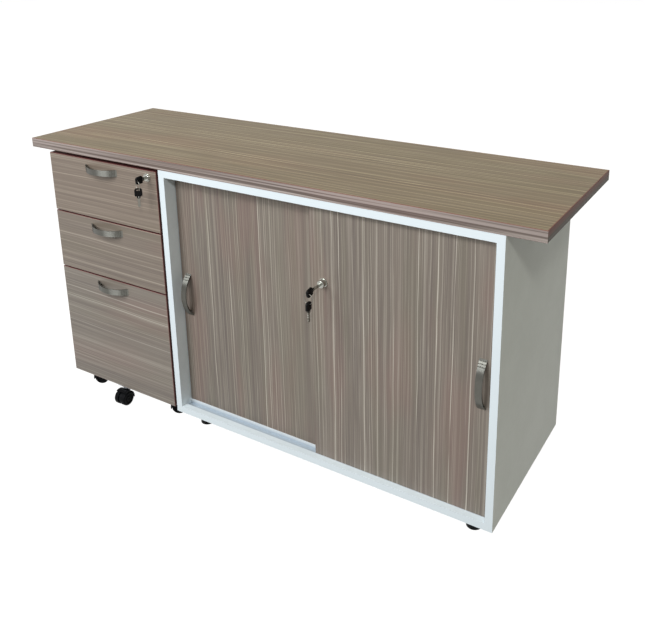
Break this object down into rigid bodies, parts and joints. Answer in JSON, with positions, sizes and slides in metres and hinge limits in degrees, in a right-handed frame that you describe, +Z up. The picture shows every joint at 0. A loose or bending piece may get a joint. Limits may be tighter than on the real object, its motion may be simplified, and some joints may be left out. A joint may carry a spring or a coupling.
{
  "type": "office credenza",
  "caption": "Office credenza: a laminate worktop on a lockable sliding-door cabinet, with a mobile drawer pedestal parked under its free end.",
  "frame": {"origin": "on the floor, under the middle of the whole object's bounding box", "axes": "+X along the worktop towards the cabinet's end, +Y from the doors and drawer fronts to the back, +Z up"},
  "size_m": [1.465, 0.5114, 0.75],
  "materials": {
    "laminate": "zebra-grain melamine laminate, semi-gloss on the worktop",
    "edge_band": "PVC edge band",
    "white_melamine": "white melamine board",
    "white_plastic": "white extruded plastic",
    "black_plastic": "moulded black plastic",
    "satin_nickel": "satin nickel plating",
    "chrome": "polished chrome plating",
    "zinc_steel": "zinc-plated steel"
  },
  "bodies": {
    "cabinet": {"worktop_board": "laminate", "worktop_edge_bands": "edge_band", "cabinet_side_left": "white_melamine", "cabinet_side_right": "white_melamine", "cabinet_top": "white_melamine", "cabinet_bottom": "white_melamine", "cabinet_back": "white_melamine", "cabinet_shelf": "white_melamine", "shelf_pins": "zinc_steel", "upper_track": "white_plastic", "lower_track": "white_plastic", "cabinet_feet": "black_plastic"},
    "left_door": {"left_door_board": "laminate", "left_door_handle": "satin_nickel", "left_door_glides": "black_plastic"},
    "right_door": {"right_door_board": "laminate", "right_door_handle": "satin_nickel", "right_door_glides": "black_plastic", "door_lock_barrel": "chrome"},
    "door_plug": {"door_lock_plug": "chrome"},
    "door_key": {"door_key_head": "black_plastic"},
    "door_spare": {"door_spare_key": "black_plastic"},
    "pedestal": {"pedestal_side_left": "white_melamine", "pedestal_side_right": "white_melamine", "pedestal_top": "white_melamine", "pedestal_bottom": "white_melamine", "pedestal_back": "white_melamine", "slide_outer_members": "zinc_steel", "castor_plates": "zinc_steel"},
    "bottom_drawer": {"bottom_drawer_front": "laminate", "bottom_drawer_box": "white_melamine", "bottom_drawer_handle": "satin_nickel", "bottom_slide_inner": "zinc_steel", "file_hanging_rails": "zinc_steel", "drawer_castor_bracket": "zinc_steel"},
    "bottom_slide": {"bottom_slide_middle": "zinc_steel"},
    "middle_drawer": {"middle_drawer_front": "laminate", "middle_drawer_box": "white_melamine", "middle_drawer_handle": "satin_nickel", "middle_slide_inner": "zinc_steel"},
    "middle_slide": {"middle_slide_middle": "zinc_steel"},
    "top_drawer": {"top_drawer_front": "laminate", "top_drawer_box": "white_melamine", "top_drawer_handle": "satin_nickel", "top_slide_inner": "zinc_steel", "drawer_lock_barrel": "chrome"},
    "top_slide": {"top_slide_middle": "zinc_steel"},
    "drawer_plug": {"drawer_lock_plug": "chrome"},
    "drawer_key": {"drawer_key_head": "black_plastic"},
    "drawer_spare": {"drawer_spare_key": "black_plastic"},
    "castor_1_swivel": {"castor_1_housing": "black_plastic"},
    "castor_1_roller": {"castor_1_wheels": "black_plastic"},
    "castor_2_swivel": {"castor_2_housing": "black_plastic"},
    "castor_2_roller": {"castor_2_wheels": "black_plastic"},
    "castor_3_swivel": {"castor_3_housing": "black_plastic"},
    "castor_3_roller": {"castor_3_wheels": "black_plastic"},
    "castor_4_swivel": {"castor_4_housing": "black_plastic"},
    "castor_4_roller": {"castor_4_wheels": "black_plastic"},
    "castor_5_swivel": {"castor_5_housing": "black_plastic"},
    "castor_5_roller": {"castor_5_wheels": "black_plastic"}
  },
  "joints": [
    {"name": "left_door_slide", "type": "slide", "parent": "cabinet", "child": "left_door", "axis": [1, 0, 0], "range_m": [0, 0.385]},
    {"name": "right_door_slide", "type": "slide", "parent": "cabinet", "child": "right_door", "axis": [1, 0, 0], "range_m": [-0.385, 0]},
    {"name": "pedestal_roll", "type": "slide", "parent": "cabinet", "child": "pedestal", "axis": [0, -1, 0], "range_m": [0, 0.45]},
    {"name": "bottom_drawer_slide", "type": "slide", "parent": "pedestal", "child": "bottom_drawer", "axis": [0, -1, 0], "range_m": [0, 0.38]},
    {"name": "bottom_slide_extend", "type": "slide", "parent": "pedestal", "child": "bottom_slide", "axis": [0, -1, 0], "range_m": [0, 0.19]},
    {"name": "middle_drawer_slide", "type": "slide", "parent": "pedestal", "child": "middle_drawer", "axis": [0, -1, 0], "range_m": [0, 0.38]},
    {"name": "middle_slide_extend", "type": "slide", "parent": "pedestal", "child": "middle_slide", "axis": [0, -1, 0], "range_m": [0, 0.19]},
    {"name": "top_drawer_slide", "type": "slide", "parent": "pedestal", "child": "top_drawer", "axis": [0, -1, 0], "range_m": [0, 0.38]},
    {"name": "top_slide_extend", "type": "slide", "parent": "pedestal", "child": "top_slide", "axis": [0, -1, 0], "range_m": [0, 0.19]},
    {"name": "door_lock_turn", "type": "hinge", "parent": "right_door", "child": "door_plug", "pos_m": [0.2185, -0.18444, 0.5225], "axis": [0, 1, 0], "range_deg": [0, 90]},
    {"name": "door_key_fold", "type": "hinge", "parent": "door_plug", "child": "door_key", "pos_m": [0.2185, -0.22945, 0.5225], "axis": [1, 0, 0], "range_deg": [-12, 78]},
    {"name": "door_spare_hang", "type": "hinge", "parent": "door_key", "child": "door_spare", "pos_m": [0.2185, -0.24607, 0.51897], "axis": [1, 0, 0], "range_deg": [-78, 12]},
    {"name": "drawer_lock_turn", "type": "hinge", "parent": "top_drawer", "child": "drawer_plug", "pos_m": [-0.296, -0.20234, 0.7], "axis": [0, 1, 0], "range_deg": [0, 90]},
    {"name": "drawer_key_fold", "type": "hinge", "parent": "drawer_plug", "child": "drawer_key", "pos_m": [-0.296, -0.21885, 0.7], "axis": [1, 0, 0], "range_deg": [-2, 88]},
    {"name": "drawer_spare_hang", "type": "hinge", "parent": "drawer_key", "child": "drawer_spare", "pos_m": [-0.296, -0.23583, 0.69941], "axis": [1, 0, 0], "range_deg": [-88, 2]},
    {"name": "castor_1_turn", "type": "hinge", "parent": "pedestal", "child": "castor_1_swivel", "pos_m": [-0.6195, -0.15735, 0.051], "axis": [0, 0, 1], "continuous": true},
    {"name": "castor_1_spin", "type": "hinge", "parent": "castor_1_swivel", "child": "castor_1_roller", "pos_m": [-0.60802, -0.15124, 0.02], "axis": [-0.4695, 0.8829, 0], "continuous": true},
    {"name": "castor_2_turn", "type": "hinge", "parent": "pedestal", "child": "castor_2_swivel", "pos_m": [-0.3095, -0.15735, 0.051], "axis": [0, 0, 1], "continuous": true},
    {"name": "castor_2_spin", "type": "hinge", "parent": "castor_2_swivel", "child": "castor_2_roller", "pos_m": [-0.29824, -0.15085, 0.02], "axis": [-0.5, 0.866, 0], "continuous": true},
    {"name": "castor_3_turn", "type": "hinge", "parent": "pedestal", "child": "castor_3_swivel", "pos_m": [-0.6195, 0.20066, 0.051], "axis": [0, 0, 1], "continuous": true},
    {"name": "castor_3_spin", "type": "hinge", "parent": "castor_3_swivel", "child": "castor_3_roller", "pos_m": [-0.60714, 0.20467, 0.02], "axis": [-0.309, 0.9511, 0], "continuous": true},
    {"name": "castor_4_turn", "type": "hinge", "parent": "pedestal", "child": "castor_4_swivel", "pos_m": [-0.3095, 0.20066, 0.051], "axis": [0, 0, 1], "continuous": true},
    {"name": "castor_4_spin", "type": "hinge", "parent": "castor_4_swivel", "child": "castor_4_roller", "pos_m": [-0.3008, 0.21032, 0.02], "axis": [-0.7431, 0.6691, 0], "continuous": true},
    {"name": "castor_5_turn", "type": "hinge", "parent": "bottom_drawer", "child": "castor_5_swivel", "pos_m": [-0.462, -0.19334, 0.051], "axis": [0, 0, 1], "continuous": true},
    {"name": "castor_5_spin", "type": "hinge", "parent": "castor_5_swivel", "child": "castor_5_roller", "pos_m": [-0.46155, -0.20634, 0.02], "axis": [0.9994, 0.0349, 0], "continuous": true}
  ],
  "couplings": [
    {"joint": "bottom_slide_extend", "follows": "bottom_drawer_slide", "ratio": 0.5},
    {"joint": "middle_slide_extend", "follows": "middle_drawer_slide", "ratio": 0.5},
    {"joint": "top_slide_extend", "follows": "top_drawer_slide", "ratio": 0.5},
    {"joint": "door_spare_hang", "follows": "door_key_fold", "ratio": -1},
    {"joint": "drawer_spare_hang", "follows": "drawer_key_fold", "ratio": -1}
  ]
}
